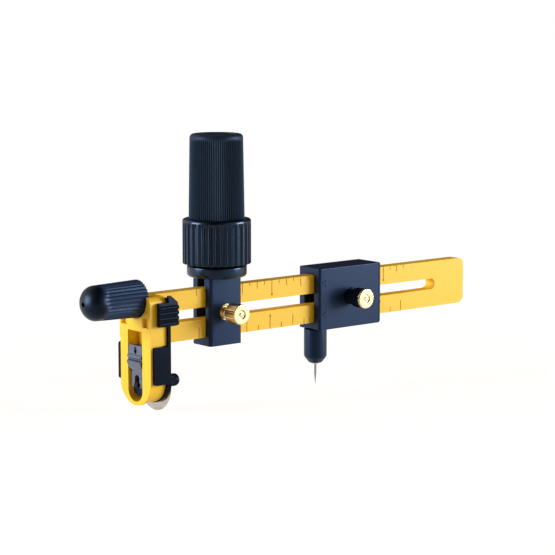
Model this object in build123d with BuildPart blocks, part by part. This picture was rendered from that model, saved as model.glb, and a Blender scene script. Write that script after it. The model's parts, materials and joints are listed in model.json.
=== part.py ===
from build123d import *
from math import cos, radians, sin
import os

# Circle cutter with a rotary blade. The origin is the needle's point, +X runs
# along the arm away from the blade, the scale faces -Y and +Z is up.

os.makedirs("parts", exist_ok=True)

# Fits and small common values
running_gap = 0.10        # radial play of a pin or shaft that turns or slides
slide_gap = 0.15          # play of the blocks on the arm
seat_gap = 0.02           # between faces that are seated on each other
free_gap = 0.30           # between moving faces that never touch
overrun = 1.0             # how far a cutting tool runs past a face
edge_round = 0.4          # broken edge of a moulding

# Arm
arm_height = 16.4
arm_thickness = 4.6
arm_middle = 30.1         # height of the arm's centre line above the point
arm_end = 69.0            # plain end of the arm
arm_corner = 2.6
slot_width = 3.9
slot_blade_end = -61.5
slot_plain_end = 54.7
arm_tongue = 1.4          # how far the arm is keyed into the head

# Scale: one centimetre of circle diameter is half a centimetre of arm
scale_zero = -72.1
mark_depth = 0.15
mark_width = 0.32
cm_step = 5.0
cm_first, cm_last = 4, 22
cm_turns = (1, 2, 10)     # every first, second and tenth mark is longer
cm_marks = (1.9, 3.8, 4.4)
mark_dot = 0.9            # dot at the end of the longest marks
inch_step = 3.175
inch_first, inch_last = 6, 35
inch_turns = (1, 2, 4, 16)
inch_marks = (1.2, 2.2, 3.3, 4.7)

# Blade and the pin that it turns on
blade_diameter = 18.0
blade_thickness = 0.3
blade_plane = -68.65      # face of the blade that looks at the guard
blade_bore = 5.0
blade_bevel = 0.9
pin_diameter = 2.2
pin_hub_gap = 0.05
pin_neck = 1.5
pin_neck_place = -75.3
pin_neck_length = 0.7
pin_tip = -76.1
pin_stud_diameter = 2.0
pin_stud_length = 5.0
pin_flange = 7.0
pin_flange_thickness = 1.2
knob_diameter = 4.2
knob_end = -59.4
knob_grooves = 18
knob_groove = 0.16

# Head that carries the blade, its guard and the parked cap
head_face = -76.2
head_back = -69.9
head_half = 8.4
head_lower_half = 7.9
head_bottom = 2.5
head_shoulder = 22.5      # above it the head has its full width
head_corner = 2.4
lip_thickness = 0.9
arch_half = 3.9
arch_bottom = 3.7
arch_top = 26.9
arch_wall_foot = 16.0     # the wall behind the upper window starts here
arch_wall = 2.2
saddle_depth = 1.8
peg_diameter = 8.3
peg_length = 8.5
notch_width = 3.4
notch_height = 3.0
notch_depth = 1.4
notch_wall = 0.9          # between a notch and the head's side

# Carrier block of the blade pin and the sliding latch that locks the pin
carrier_bottom = 5.4
carrier_top = 15.4
carrier_plate_top = 21.5  # a thin plate goes on up behind the latch
carrier_face = -74.0
carrier_corner = 1.95
carrier_rib = 0.3
carrier_ribs = 3
latch_thickness = 0.4
latch_half = 3.6
latch_top = 22.1
latch_bend = 19.2         # where the flat plate turns into the finger tab
latch_step = 0.85         # height of each slope of the tab
latch_radius = 0.4        # middle of the sheet at each bend
latch_foot = 13.4         # the tab's last slope ends here and the fork begins
latch_set = 0.3           # how far the plate lies inside the arch's face
latch_reach = 0.7         # how far the tab stands out of the arch
latch_fold = 1.3          # depth of the fold between the tab's two crests
latch_travel = 1.1
fork_half = 2.9
fork_end = 8.3            # the fork's two legs end just below the pin's middle
latch_slot_width = 1.3
latch_slot_middle = 20.5
stud_diameter = 1.1

# Blade guard
guard_gap = 0.08          # between the guard and the blade
guard_thickness = 1.05
guard_half = 9.3
guard_bottom = 2.7
guard_top = 21.6
guard_travel = 4.5
wing_foot = 10.0
wing_top = 22.2
wing_corner = 0.8
leg_width = 3.2
thumb_left = -73.7
thumb_right = -66.3
thumb_top = 38.5
thumb_shoulder = 36.4     # the ribbed face ends here and leans back to the top
thumb_foot = 28.8
thumb_face = -10.6
thumb_corner = 0.8
thumb_ribs = 4
thumb_rib = 0.6
thumb_rib_width = 1.3

# Needle cap
cap_middle = 37.2
cap_diameter = 12.2
cap_nose_diameter = 11.4
cap_mouth = -74.5
cap_pole = -96.0
cap_dome = 4.6
cap_hole = 1.6
cap_ribs = 32
cap_rib_depth = 0.3
cap_bore_length = 17.0

# Handle carriage
handle_place = -42.85
block_length = 13.3
block_half = 5.0
block_wall = 2.8
block_corner = 1.2
window_width = 3.7
window_depth = 5.4
flange_diameter = 19.8
flange_foot = 41.5
flange_top = 45.2
flange_round = 1.1
spindle_diameter = 5.0
spindle_foot = 38.7
spindle_stub = 1.2        # stands above the clip
cross_pin_diameter = 1.5
cross_pin_height = 40.0
cross_pin_reach = 4.2     # blind in the block's front wall, let into its back wall
clip_groove = 4.2
clip_diameter = 8.4
clip_thickness = 0.7

# Ratchet inside the collar
wheel_diameter = 12.0
wheel_clearance = 0.88    # under the roof of the collar's cavity
wheel_teeth = 16
wheel_tooth = 0.7
root_share = 0.12         # share of a tooth's pitch taken by its steep side
pawl_pin_place = 8.0      # distance of the pawl's pivot from the spindle
pawl_pin_diameter = 1.3
pawl_pin_hold = 2.5
pawl_thickness = 2.4
pawl_boss = 2.0
pawl_nose = 1.2
pawl_angle = 34.0         # from the pivot round to the nose
leaf_thickness = 0.3
leaf_angle = 80.0         # from the pivot round to the leaf's anchored end

# Collar and grip
collar_gap = 0.6          # between the collar and the flange
collar_height = 14.8
collar_diameter = 22.6
collar_flutes = 30
flute_radius = 0.95
flute_depth = 0.7
collar_edge = 0.9
collar_cavity_diameter = 18.6
collar_cavity_height = 4.9
collar_neck_diameter = 11.0
collar_neck_height = 5.0
grip_height = 27.8        # from the collar's shoulder to the top
grip_foot_diameter = 18.4
grip_top_diameter = 17.5
grip_ribs = 80
grip_rib_depth = 0.28
grip_edge = 1.5
grip_bore_depth = 24.0
grip_dish_diameter = 13.0
grip_dish_depth = 0.5

# Pivot block
pivot_left = -2.9
pivot_length = 28.5
pivot_half = 5.5
pivot_wall = 2.5
pivot_corner = 0.9
pivot_end_round = 1.2     # corners of the end away from the blade
index_stand = 5.4         # the two index arrows stand this far from the arm's centre line
index_inset = 0.9
index_length = 1.9
index_half = 1.0
index_width = 0.35
index_depth = 0.2

# Clamping screws, one in each block
screw_thread = 3.0
screw_neck = 3.5
screw_head_diameter = 6.8
screw_head_length = 5.2
screw_stand = 8.2         # head's face above the block's face
screw_knurls = 28
screw_knurl = 0.22
screw_chamfer = 0.3
screw_dimple = 1.1
screw_dimple_depth = 0.4
screw_lead = 0.5          # the shoe lifts by this much in one turn
bush_diameter = 5.4
shoe_diameter = 8.0
shoe_thickness = 0.6
sleeve_rim = 0.8          # brass rim left in front of the sleeve
sleeve_wall = 1.0
sleeve_foot_diameter = 5.6   # the sleeve's foot, round the screw's neck

# Needle and its chuck
needle_diameter = 0.9
needle_taper = 4.0
needle_tip_diameter = 0.12
needle_top = 16.5
chuck_diameter = 7.9
chuck_cone_top = 9.7
chuck_foot = 7.5
chuck_nose_diameter = 4.4
chuck_wall = 1.2
spigot_diameter = 5.2
spigot_foot = 13.0
collet_diameter = 3.0
collet_foot = 7.0
collet_slit = 0.35

# Places that follow from the sizes above
arm_top = arm_middle + arm_height / 2
arm_foot = arm_middle - arm_height / 2
arm_front = -arm_thickness / 2
blade_radius = blade_diameter / 2
blade_middle = blade_radius
guard_inner = blade_plane - guard_gap
guard_outer = guard_inner - guard_thickness
wing_inner = head_lower_half + running_gap
channel_height = arm_height + 2 * slide_gap
block_foot = arm_foot - block_wall
pivot_foot = arm_foot - pivot_wall
pivot_top = arm_top + pivot_wall
pivot_middle = pivot_left + pivot_length / 2
chuck_top = pivot_foot - running_gap
shoe_pocket = seat_gap + shoe_thickness + screw_lead + running_gap
collar_foot = flange_top + collar_gap
collar_top = collar_foot + collar_height
neck_top = collar_top + collar_neck_height
clip_foot = neck_top + running_gap
spindle_top = clip_foot + clip_thickness + spindle_stub
grip_top = collar_top + grip_height
wheel_foot = flange_top + seat_gap
cavity_top = collar_foot + collar_cavity_height
wheel_thickness = cavity_top - wheel_clearance - wheel_foot
nose_place = wheel_diameter / 2 + pawl_nose / 2 + running_gap
pawl_foot = cavity_top - running_gap - pawl_thickness
collet_top = spigot_foot - seat_gap


def save(part, name):
    """Label the piece and write it as its own file."""
    part.label = name
    export_step(part, f"parts/{name}.step")


def mark_size(number, turns, sizes):
    """Length of a scale mark: the longest one whose turn divides its number."""
    return max(size for turn, size in zip(turns, sizes) if number % turn == 0)


def bar(plane, place, diameter, length, mode=Mode.ADD):
    """A round bar or bore that starts on a plane, centred on a place of that plane."""
    with BuildSketch(plane) as profile:
        with Locations(place):
            Circle(diameter / 2)
    extrude(profile.sketch, amount=length, mode=mode)


def slab(plane, place, width, height, thickness, mode=Mode.ADD):
    """A plain slab or cut that starts on a plane, centred on a place of that plane."""
    with BuildSketch(plane) as profile:
        with Locations(place):
            Rectangle(width, height)
    extrude(profile.sketch, amount=thickness, mode=mode)


def around_handle(radius, angle):
    """A place at a radius and an angle round the handle's axis."""
    return (handle_place + radius * cos(radians(angle)), radius * sin(radians(angle)))


# Ruler arm: a slotted bar with an engraved scale on its front
with BuildPart() as ruler_arm:
    tongue_end = head_back - arm_tongue
    with BuildSketch(Plane.XZ.offset(-arm_thickness / 2)):
        with Locations(((tongue_end + arm_end) / 2, arm_middle)):
            Rectangle(arm_end - tongue_end, arm_height)
    extrude(amount=arm_thickness)
    plain_corners = ruler_arm.edges().filter_by(Axis.Y).group_by(Axis.X)[-1]
    fillet(plain_corners, arm_corner)
    with BuildSketch(Plane.XZ.offset(-arm_thickness / 2 - overrun)):
        with Locations(((slot_blade_end + slot_plain_end) / 2, arm_middle)):
            SlotOverall(slot_plain_end - slot_blade_end, slot_width)
    extrude(amount=arm_thickness + 2 * overrun, mode=Mode.SUBTRACT)
    with BuildSketch(Plane.XZ.offset(-arm_front - mark_depth)):
        for number in range(cm_first, cm_last + 1):
            size = mark_size(number, cm_turns, cm_marks)
            with Locations((scale_zero + cm_step * number, arm_foot)):
                Rectangle(mark_width, size, align=(Align.CENTER, Align.MIN))
            if size == max(cm_marks):
                with Locations((scale_zero + cm_step * number, arm_foot + size)):
                    Circle(mark_dot / 2)
        for number in range(inch_first, inch_last + 1):
            size = mark_size(number, inch_turns, inch_marks)
            with Locations((scale_zero + inch_step * number, arm_top)):
                Rectangle(mark_width, size, align=(Align.CENTER, Align.MAX))
            if size == max(inch_marks):
                with Locations((scale_zero + inch_step * number, arm_top - size)):
                    Circle(mark_dot / 2)
    extrude(amount=mark_depth + overrun, mode=Mode.SUBTRACT)
save(ruler_arm.part, "ruler_arm")

# Blade head: an arch with a narrow lip, a saddle and a peg for the cap
with BuildPart() as blade_head:
    lower_reach = head_shoulder - head_bottom
    with BuildSketch(Plane.YZ.offset(head_face)):
        with Locations((0, head_bottom + head_half)):
            Circle(head_half)
        with Locations((0, (head_bottom + head_half + arm_top) / 2)):
            Rectangle(2 * head_half, arm_top - head_bottom - head_half)
    extrude(amount=lip_thickness)
    with BuildSketch(Plane.YZ.offset(head_face + lip_thickness)):
        with Locations((0, head_bottom + head_half)):
            Circle(head_lower_half)
        with Locations((0, (head_bottom + head_half + head_shoulder) / 2)):
            Rectangle(2 * head_lower_half, head_shoulder - head_bottom - head_half)
        with Locations((0, (head_shoulder + arm_top) / 2)):
            Rectangle(2 * head_half, arm_top - head_shoulder)
    extrude(amount=head_back - head_face - lip_thickness)
    upper_corners = blade_head.edges().filter_by(Axis.X).group_by(Axis.Z)[-1]
    fillet(upper_corners, head_corner)
    # arch, open right through below the window's wall
    with BuildSketch(Plane.YZ.offset(head_face - overrun)):
        with Locations((0, arch_bottom + arch_half)):
            Circle(arch_half)
        with Locations((0, (arch_bottom + arch_half + arch_wall_foot) / 2)):
            Rectangle(2 * arch_half, arch_wall_foot - arch_bottom - arch_half)
    extrude(amount=head_back - head_face + 2 * overrun, mode=Mode.SUBTRACT)
    # upper window, closed by a wall at the back
    window_reach = arch_top - arch_wall_foot
    with BuildSketch(Plane.YZ.offset(head_face - overrun)):
        with Locations((0, arch_wall_foot + window_reach / 2)):
            Rectangle(2 * arch_half, window_reach)
    extrude(amount=head_back - head_face - arch_wall + overrun, mode=Mode.SUBTRACT)
    # saddle for the mouth of the cap
    with BuildSketch(Plane.YZ.offset(head_face - overrun)):
        with Locations((0, cap_middle)):
            Circle(cap_diameter / 2 + free_gap)
    extrude(amount=saddle_depth + overrun, mode=Mode.SUBTRACT)
    # notches under the saddle, one each side
    for side in (-1, 1):
        with BuildSketch(Plane.YZ.offset(head_face - overrun)):
            with Locations((side * (head_half - notch_wall - notch_width / 2), arch_top + notch_height)):
                Rectangle(notch_width, notch_height)
        extrude(amount=notch_depth + overrun, mode=Mode.SUBTRACT)
    # pocket for the arm's tongue
    with BuildSketch(Plane.YZ.offset(head_back - arm_tongue - seat_gap)):
        with Locations((0, arm_middle)):
            Rectangle(arm_thickness + 2 * seat_gap, arm_height + 2 * seat_gap)
    extrude(amount=arm_tongue + overrun, mode=Mode.SUBTRACT)
    # peg that the cap is parked on
    peg_root = head_face + saddle_depth
    with BuildSketch(Plane.YZ.offset(peg_root - peg_length)):
        with Locations((0, cap_middle)):
            Circle(peg_diameter / 2)
    extrude(amount=peg_length)
    peg_end = blade_head.faces().sort_by(Axis.X)[0]
    chamfer(peg_end.edges(), edge_round)
    # clearance for the guard's back wing, which reaches the arch's face
    lip_overhang = head_half - head_lower_half
    with BuildSketch(Plane.YZ.offset(head_face - overrun)):
        with Locations((head_half, head_bottom + lower_reach / 2)):
            Rectangle(2 * lip_overhang, lower_reach + 2 * overrun)
    extrude(amount=lip_thickness + overrun, mode=Mode.SUBTRACT)
save(blade_head.part, "blade_head")

# Carrier block that holds the blade pin inside the arch, with the stud that guides the latch
with BuildPart() as pin_carrier:
    carrier_half = arch_half - seat_gap
    carrier_depth = head_back - carrier_face
    carrier_height = carrier_top - carrier_bottom
    carrier_centre = (0, carrier_bottom + carrier_height / 2)
    slab(Plane.YZ.offset(carrier_face), carrier_centre, 2 * carrier_half, carrier_height, carrier_depth)
    fillet(pin_carrier.edges().filter_by(Axis.X).group_by(Axis.Z)[0], carrier_corner)
    plate_height = carrier_plate_top - carrier_top
    slab(Plane.YZ.offset(carrier_face), (0, carrier_top + plate_height / 2), 2 * carrier_half, plate_height,
         head_back - arch_wall - seat_gap - carrier_face)
    stud_height = latch_slot_middle + latch_travel / 2
    bar(Plane.YZ.offset(head_face + running_gap), (0, stud_height), stud_diameter,
        carrier_face - head_face)
    for rib in range(carrier_ribs):
        rib_place = (0, carrier_top - (4 * rib + 1) * carrier_rib)
        slab(Plane.YZ.offset(carrier_face - carrier_rib), rib_place,
             2 * carrier_half, 2 * carrier_rib, carrier_rib)
    bar(Plane.YZ.offset(carrier_face - overrun), (0, blade_middle), pin_diameter + 2 * running_gap,
        carrier_depth + 2 * overrun, Mode.SUBTRACT)
save(pin_carrier.part, "pin_carrier")

# Sliding latch: a slotted plate, a finger tab with two crests and a fork over the pin's neck
with BuildPart() as pin_latch:
    plate_place = head_face + latch_set
    crest = head_face - latch_reach
    with BuildSketch(Plane.XZ.offset(-latch_half)):
        with BuildLine():
            FilletPolyline(
                (plate_place, latch_top),
                (plate_place, latch_bend),
                (crest, latch_bend - latch_step),
                (crest + latch_fold, latch_bend - 2 * latch_step),
                (crest, latch_bend - 3 * latch_step),
                (pin_neck_place, latch_foot),
                (pin_neck_place, fork_end),
                radius=latch_radius,
            )
        trace(line_width=latch_thickness)
    extrude(amount=2 * latch_half)
    fork_height = latch_foot - latch_step - fork_end
    for side in (-1, 1):
        trim = latch_half - fork_half
        slab(Plane.YZ.offset(pin_neck_place - overrun),
             (side * (latch_half - trim / 2), fork_end + fork_height / 2),
             trim, fork_height + 2 * latch_thickness, 2 * overrun, Mode.SUBTRACT)
    # gap between the fork's legs, with a round top over the pin
    gap_width = pin_diameter + 2 * running_gap
    gap_top = blade_middle + pin_diameter + latch_travel
    with BuildSketch(Plane.YZ.offset(pin_neck_place - overrun)):
        with Locations((0, (gap_top + fork_end) / 2 - overrun)):
            SlotOverall(gap_top - fork_end + 2 * overrun, gap_width, rotation=90)
    extrude(amount=2 * overrun, mode=Mode.SUBTRACT)
    with BuildSketch(Plane.YZ.offset(plate_place - overrun)):
        with Locations((0, latch_slot_middle)):
            SlotOverall(latch_travel + latch_slot_width, latch_slot_width, rotation=90)
    extrude(amount=2 * overrun, mode=Mode.SUBTRACT)
save(pin_latch.part, "pin_latch")

# Blade: a thin disc bevelled to an edge
with BuildPart() as blade:
    blade_back = blade_plane + blade_thickness
    with BuildSketch(Plane.XZ):
        with BuildLine():
            Polyline(
                (blade_plane, blade_middle + blade_bore / 2),
                (blade_plane, blade_middle + blade_radius - blade_bevel),
                (blade_plane + blade_thickness / 2, blade_middle + blade_radius),
                (blade_back, blade_middle + blade_radius - blade_bevel),
                (blade_back, blade_middle + blade_bore / 2),
                close=True,
            )
        make_face()
    revolve(axis=Axis((0, 0, blade_middle), (1, 0, 0)))
save(blade.part, "blade")

# Blade pin: shaft with a neck, a hub for the blade, a flange and a stud for the knob
with BuildPart() as blade_pin:
    hub_back = blade_back + pin_hub_gap
    flange_back = hub_back + pin_flange_thickness
    bar(Plane.YZ.offset(pin_tip), (0, blade_middle), pin_diameter, blade_plane - pin_tip)
    chamfer(blade_pin.faces().sort_by(Axis.X)[0].edges(), edge_round)
    bar(Plane.YZ.offset(blade_plane), (0, blade_middle), blade_bore - 2 * pin_hub_gap,
        blade_thickness + pin_hub_gap)
    bar(Plane.YZ.offset(hub_back), (0, blade_middle), pin_flange, pin_flange_thickness)
    bar(Plane.YZ.offset(flange_back), (0, blade_middle), pin_stud_diameter, pin_stud_length)
    with BuildSketch(Plane.YZ.offset(pin_neck_place - pin_neck_length / 2)):
        with Locations((0, blade_middle)):
            Circle(pin_diameter)
            Circle(pin_neck / 2, mode=Mode.SUBTRACT)
    extrude(amount=pin_neck_length, mode=Mode.SUBTRACT)
save(blade_pin.part, "blade_pin")

# Knob of the blade pin: grooved, with a domed end
with BuildPart() as pin_knob:
    knob_length = knob_end - flange_back
    bar(Plane.YZ.offset(flange_back), (0, blade_middle), knob_diameter, knob_length)
    knob_rim = pin_knob.faces().sort_by(Axis.X)[-1].edges()
    fillet(knob_rim, knob_diameter / 2 - running_gap)
    with BuildSketch(Plane.YZ.offset(flange_back - overrun)):
        with Locations((0, blade_middle)):
            with PolarLocations(knob_diameter / 2 + knob_groove / 2, knob_grooves):
                Circle(knob_groove)
    extrude(amount=knob_length - knob_diameter / 2 + overrun, mode=Mode.SUBTRACT)
    bar(Plane.YZ.offset(flange_back - overrun), (0, blade_middle), pin_stud_diameter,
        pin_stud_length + overrun, Mode.SUBTRACT)
save(pin_knob.part, "pin_knob")

# Blade guard: a U-shaped plate with two wings, a leg and a ribbed thumb piece
with BuildPart() as blade_guard:
    with BuildSketch(Plane.YZ.offset(guard_outer)):
        with Locations((0, guard_bottom + guard_half)):
            Circle(guard_half)
        with Locations((0, (guard_bottom + guard_half + guard_top) / 2)):
            Rectangle(2 * guard_half, guard_top - guard_bottom - guard_half)
        with Locations((-guard_half + leg_width / 2, (guard_top + thumb_top - thumb_corner) / 2)):
            Rectangle(leg_width, thumb_top - thumb_corner - guard_top)
        with Locations((0, blade_middle + guard_travel / 2)):
            SlotOverall(guard_travel + pin_diameter + 2 * running_gap, pin_diameter + 2 * running_gap,
                        rotation=90, mode=Mode.SUBTRACT)
    extrude(amount=guard_thickness)
    wing_height = wing_top - wing_foot
    wing_thickness = guard_half - wing_inner
    wing_ends = {-1: head_face + lip_thickness + running_gap, 1: head_face}
    for side, wing_end in wing_ends.items():
        wing_face = -guard_half if side < 0 else wing_inner
        with BuildSketch(Plane.XZ.offset(-wing_face)):
            with Locations(((wing_end + guard_inner) / 2, wing_foot + wing_height / 2)):
                Rectangle(guard_inner - wing_end, wing_height)
            fillet(vertices().group_by(Axis.X)[0], wing_corner)
        extrude(amount=-wing_thickness)
    # thumb piece: a block beside the head that leans back to the top of the leg
    thumb_root = -(head_half + free_gap)
    thumb_depth = thumb_root - thumb_face - thumb_rib
    with BuildSketch(Plane.XZ.offset(-thumb_root)):
        with BuildLine():
            Polyline(
                (thumb_left, thumb_foot),
                (thumb_right, thumb_foot),
                (thumb_right, thumb_shoulder),
                (guard_inner, thumb_top),
                (guard_outer, thumb_top),
                (guard_outer, thumb_shoulder),
                (thumb_left, thumb_shoulder),
                close=True,
            )
        make_face()
        fillet(vertices().group_by(Axis.X)[-1], thumb_corner)
    extrude(amount=thumb_depth)
    lean_foot = thumb_shoulder - thumb_corner
    with BuildSketch(Plane.YZ.offset(thumb_left - overrun)):
        with BuildLine():
            Polyline(
                (thumb_root - thumb_depth, lean_foot),
                (thumb_root - thumb_depth / 2, thumb_top + thumb_rib),
                (thumb_root - thumb_depth, thumb_top + thumb_rib),
                close=True,
            )
        make_face()
    extrude(amount=thumb_right - thumb_left + 2 * overrun, mode=Mode.SUBTRACT)
    # ribs across its face, each a bar rounded to the front
    thumb_pitch = (lean_foot - thumb_foot) / thumb_ribs
    for rib in range(thumb_ribs):
        rib_place = (thumb_root - thumb_depth, thumb_foot + (rib + 1 / 2) * thumb_pitch)
        with BuildSketch(Plane.YZ.offset(thumb_left)):
            with Locations(rib_place):
                Ellipse(thumb_rib, thumb_rib_width / 2)
        extrude(amount=thumb_right - thumb_left)
save(blade_guard.part, "blade_guard")

# Needle cap: a ribbed, domed sleeve parked on the head's peg
with BuildPart() as needle_cap:
    dome_root = cap_pole + cap_dome
    with BuildSketch(Plane.XZ):
        with BuildLine():
            Polyline(
                (cap_mouth, cap_middle),
                (cap_mouth, cap_middle + cap_diameter / 2),
                (dome_root, cap_middle + cap_nose_diameter / 2),
            )
            EllipticalCenterArc((dome_root, cap_middle), cap_dome, cap_nose_diameter / 2, 90, arc_size=90)
            Line((cap_pole, cap_middle), (cap_mouth, cap_middle))
        make_face()
    revolve(axis=Axis((0, 0, cap_middle), (1, 0, 0)))
    with BuildSketch(Plane.YZ.offset(dome_root)):
        with Locations((0, cap_middle)):
            with PolarLocations(cap_diameter / 2 + cap_rib_depth / 2, cap_ribs):
                Circle(cap_rib_depth * 3 / 2)
    extrude(amount=cap_mouth - dome_root + overrun, mode=Mode.SUBTRACT)
    bar(Plane.YZ.offset(cap_mouth - cap_bore_length), (0, cap_middle), peg_diameter + 2 * running_gap,
        cap_bore_length + overrun, Mode.SUBTRACT)
    bar(Plane.YZ.offset(cap_pole - overrun), (0, cap_middle), cap_hole, cap_dome + 2 * overrun, Mode.SUBTRACT)
save(needle_cap.part, "needle_cap")


def carriage(left, length, half, foot, top, corner):
    """A block with a channel for the arm and the seat of its clamping screw, in the current part."""
    middle = left + length / 2
    slab(Plane.YZ.offset(left), (0, (foot + top) / 2), 2 * half, top - foot, length)
    fillet(edges().filter_by(Axis.Z), corner)
    slab(Plane.YZ.offset(left - overrun), (0, arm_middle), arm_thickness + 2 * slide_gap,
         channel_height, length + 2 * overrun, Mode.SUBTRACT)
    bar(Plane.XZ.offset(-arm_front), (middle, arm_middle), shoe_diameter + 2 * running_gap,
        shoe_pocket, Mode.SUBTRACT)
    bar(Plane.XZ.offset(-arm_front), (middle, arm_middle), bush_diameter + 2 * seat_gap,
        half + arm_front + overrun, Mode.SUBTRACT)


def clamp_shoe(middle):
    """The disc that the screw presses on the arm, bridging its slot."""
    bar(Plane.XZ.offset(-arm_front + seat_gap), (middle, arm_middle), shoe_diameter, shoe_thickness)


def screw_bush(middle, half):
    """The threaded brass insert in the block's front wall."""
    inner = -arm_front + shoe_pocket
    bar(Plane.XZ.offset(inner), (middle, arm_middle), bush_diameter, half - inner)
    bar(Plane.XZ.offset(inner - overrun), (middle, arm_middle), screw_thread + running_gap,
        half - inner + 2 * overrun, Mode.SUBTRACT)


def knurled(start, centre, length):
    """A knurled cylinder that starts on a distance in front of the arm's centre plane."""
    with BuildSketch(Plane.XZ.offset(start)) as head:
        with Locations(centre):
            Circle(screw_head_diameter / 2)
            with PolarLocations(screw_head_diameter / 2 + screw_knurl, screw_knurls):
                Circle(2 * screw_knurl, mode=Mode.SUBTRACT)
    extrude(head.sketch, amount=length)


def thumb_screw(middle, half):
    """A clamping screw: thread, neck, knurled head and a dimple in its face."""
    face = half + screw_stand
    head_root = face - screw_head_length
    tip = -arm_front + 2 * seat_gap + shoe_thickness
    centre = (middle, arm_middle)
    bar(Plane.XZ.offset(tip), centre, screw_thread, head_root - tip)
    bar(Plane.XZ.offset(half + running_gap), centre, screw_neck, head_root - half - running_gap)
    knurled(head_root, centre, screw_head_length - screw_chamfer)
    with BuildSketch(Plane.XZ.offset(face - screw_chamfer)) as rim:
        with Locations(centre):
            Circle(screw_head_diameter / 2 - screw_knurl)
    extrude(rim.sketch, amount=screw_chamfer, taper=45)
    bar(Plane.XZ.offset(face - screw_dimple_depth), centre, 2 * screw_dimple, 2 * screw_dimple_depth,
        Mode.SUBTRACT)


# Handle block: rides on the arm and carries the handle
block_left = handle_place - block_length / 2
with BuildPart() as handle_block:
    carriage(block_left, block_length, block_half, block_foot, flange_foot, block_corner)
    roof_middle = (arm_top + flange_foot) / 2
    slab(Plane.YZ.offset(block_left - overrun), (0, roof_middle), window_width,
         flange_foot - arm_top, window_depth + overrun, Mode.SUBTRACT)
    bar(Plane.XY.offset(arm_top), (handle_place, 0), spindle_diameter + 2 * seat_gap,
        flange_foot - arm_top + overrun, Mode.SUBTRACT)
    bar(Plane.XZ.offset(-block_half - overrun), (handle_place, cross_pin_height),
        cross_pin_diameter + 2 * seat_gap, block_half + overrun + cross_pin_reach + seat_gap, Mode.SUBTRACT)
save(handle_block.part, "handle_block")

with BuildPart() as handle_shoe:
    clamp_shoe(handle_place)
save(handle_shoe.part, "handle_shoe")

with BuildPart() as handle_bush:
    screw_bush(handle_place, block_half)
save(handle_bush.part, "handle_bush")

with BuildPart() as handle_screw:
    thumb_screw(handle_place, block_half)
save(handle_screw.part, "handle_screw")

# Flange under the handle, fixed to the block
with BuildPart() as handle_flange:
    bar(Plane.XY.offset(flange_foot), (handle_place, 0), flange_diameter, flange_top - flange_foot)
    fillet(handle_flange.faces().sort_by(Axis.Z)[0].edges(), flange_round)
    chamfer(handle_flange.faces().sort_by(Axis.Z)[-1].edges(), edge_round)
    bar(Plane.XY.offset(flange_foot - overrun), (handle_place, 0), spindle_diameter + 2 * seat_gap,
        flange_top - flange_foot + 2 * overrun, Mode.SUBTRACT)
save(handle_flange.part, "handle_flange")

# Spindle of the handle, with the groove of its clip and the hole of its cross pin
with BuildPart() as handle_spindle:
    bar(Plane.XY.offset(spindle_foot), (handle_place, 0), spindle_diameter, spindle_top - spindle_foot)
    chamfer(handle_spindle.edges().filter_by(GeomType.CIRCLE), edge_round)
    with BuildSketch(Plane.XY.offset(clip_foot)):
        with Locations((handle_place, 0)):
            Circle(spindle_diameter)
            Circle(clip_groove / 2, mode=Mode.SUBTRACT)
    extrude(amount=clip_thickness + seat_gap, mode=Mode.SUBTRACT)
    bar(Plane.XZ.offset(-spindle_diameter), (handle_place, cross_pin_height),
        cross_pin_diameter + 2 * seat_gap, 2 * spindle_diameter, Mode.SUBTRACT)
save(handle_spindle.part, "handle_spindle")

with BuildPart() as cross_pin:
    bar(Plane.XZ.offset(-block_half + edge_round), (handle_place, cross_pin_height), cross_pin_diameter,
        block_half - edge_round + cross_pin_reach)
save(cross_pin.part, "cross_pin")

# Clip that keeps the collar on the spindle, open at one side
with BuildPart() as retaining_clip:
    bar(Plane.XY.offset(clip_foot), (handle_place, 0), clip_diameter, clip_thickness)
    bar(Plane.XY.offset(clip_foot - overrun), (handle_place, 0), clip_groove + 2 * seat_gap,
        clip_thickness + 2 * overrun, Mode.SUBTRACT)
    slab(Plane.XY.offset(clip_foot - overrun), (handle_place + clip_diameter / 2, 0), clip_diameter,
         clip_groove * 3 / 4, clip_thickness + 2 * overrun, Mode.SUBTRACT)
save(retaining_clip.part, "retaining_clip")

# Ratchet wheel, keyed on the spindle
with BuildPart() as ratchet_wheel:
    tooth_angle = 360 / wheel_teeth
    tips = []
    for tooth in range(wheel_teeth):
        tips.append(around_handle(wheel_diameter / 2 - wheel_tooth, (tooth + root_share) * tooth_angle))
        tips.append(around_handle(wheel_diameter / 2, (tooth + 1) * tooth_angle))
    with BuildSketch(Plane.XY.offset(wheel_foot)):
        with BuildLine():
            Polyline(*tips, close=True)
        make_face()
        with Locations((handle_place, 0)):
            Circle(spindle_diameter / 2 + seat_gap, mode=Mode.SUBTRACT)
    extrude(amount=wheel_thickness)
save(ratchet_wheel.part, "ratchet_wheel")


# Pawl, its pivot pin and its leaf spring, all carried by the collar
with BuildPart() as pawl_pin:
    bar(Plane.XY.offset(pawl_foot - running_gap), around_handle(pawl_pin_place, 0), pawl_pin_diameter,
        cavity_top + pawl_pin_hold - pawl_foot)
save(pawl_pin.part, "pawl_pin")

with BuildPart() as ratchet_pawl:
    with BuildSketch(Plane.XY.offset(pawl_foot)):
        with Locations(around_handle(pawl_pin_place, 0)):
            Circle(pawl_boss / 2)
        with Locations(around_handle(nose_place, pawl_angle)):
            Circle(pawl_nose / 2)
        make_hull()
        with Locations(around_handle(pawl_pin_place, 0)):
            Circle(pawl_pin_diameter / 2 + seat_gap, mode=Mode.SUBTRACT)
    extrude(amount=pawl_thickness)
save(ratchet_pawl.part, "ratchet_pawl")

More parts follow.
